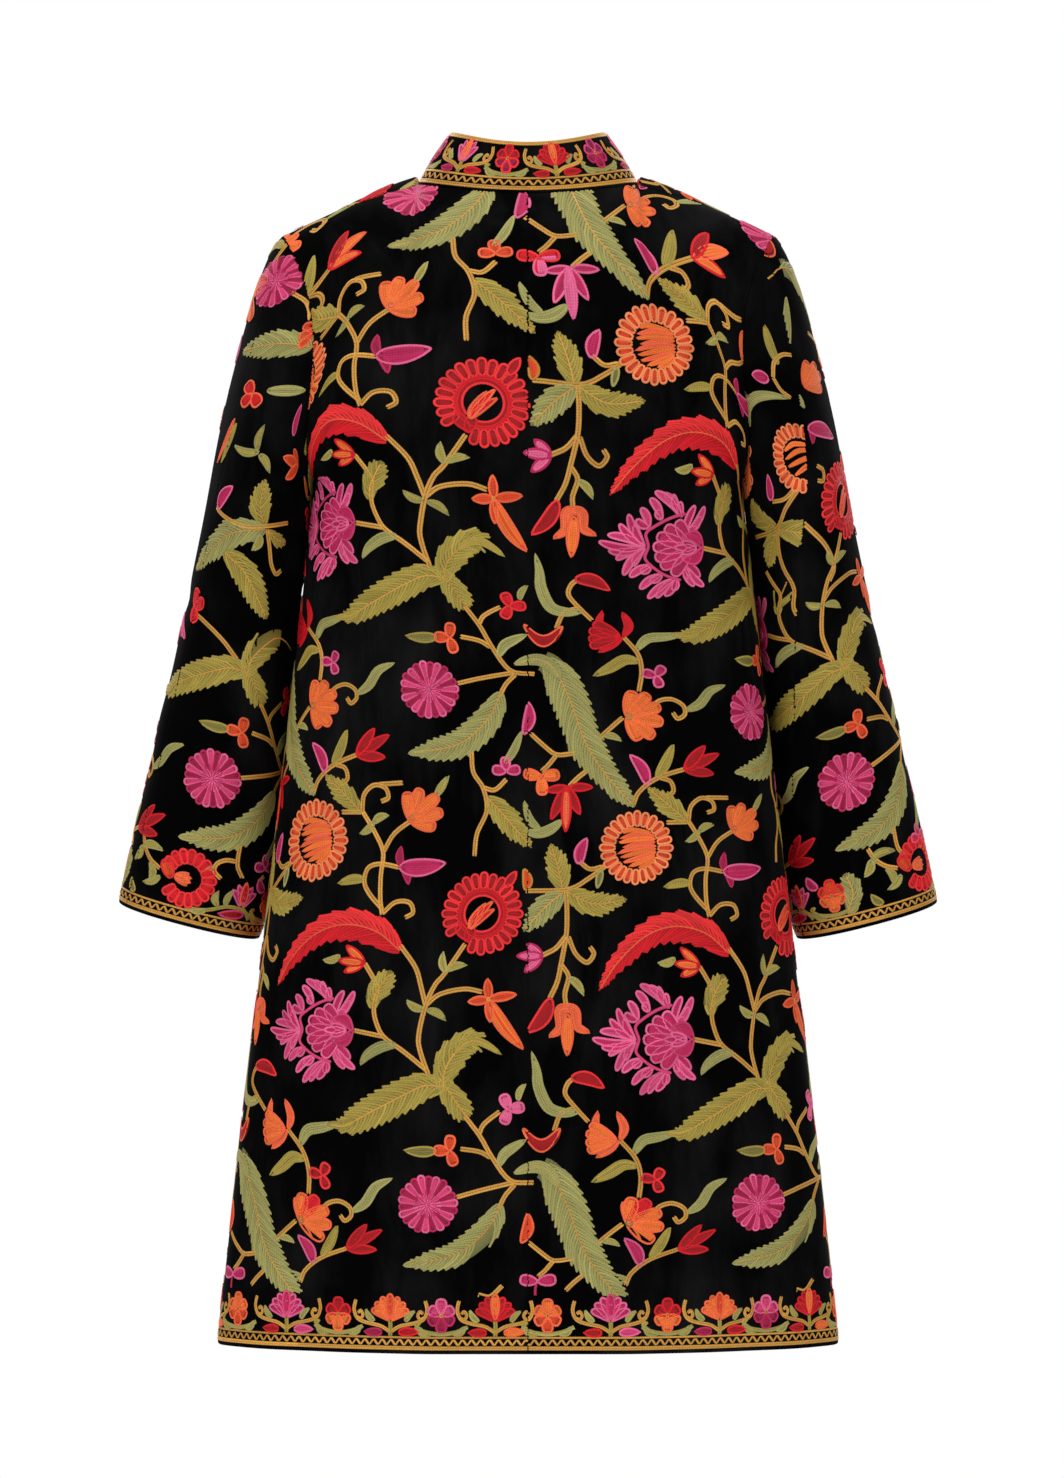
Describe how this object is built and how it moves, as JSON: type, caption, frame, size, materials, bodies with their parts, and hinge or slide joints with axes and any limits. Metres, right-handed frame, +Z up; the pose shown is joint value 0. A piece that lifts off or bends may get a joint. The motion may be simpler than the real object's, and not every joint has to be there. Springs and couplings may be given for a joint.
{
  "type": "velvet coat",
  "caption": "Long A-line black velvet coat, hollow as worn, with a stand collar, long sleeves and an all-over embroidered flower pattern with bordered collar, cuffs and hem.",
  "frame": {"origin": "inside the neck of the coat, halfway between the shoulders at the height of the middle of the shoulder seams, where the wearer's shoulders hold it", "axes": "+Z up, -Y towards the coat's back, +Y towards its open front, +X towards the wearer's right"},
  "size_m": [0.6847, 0.2618, 1.0018],
  "materials": {
    "body_velvet": "matt cotton velvet pile",
    "sleeve_velvet": "matt cotton velvet pile",
    "collar_velvet": "matt cotton velvet pile"
  },
  "bodies": {
    "root": {"back_left": "body_velvet", "back_right": "body_velvet", "front_left": "body_velvet", "front_right": "body_velvet", "sleeve_left_upper": "sleeve_velvet", "sleeve_left_under": "sleeve_velvet", "sleeve_right_upper": "sleeve_velvet", "sleeve_right_under": "sleeve_velvet", "collar": "collar_velvet"}
  },
  "joints": []
}
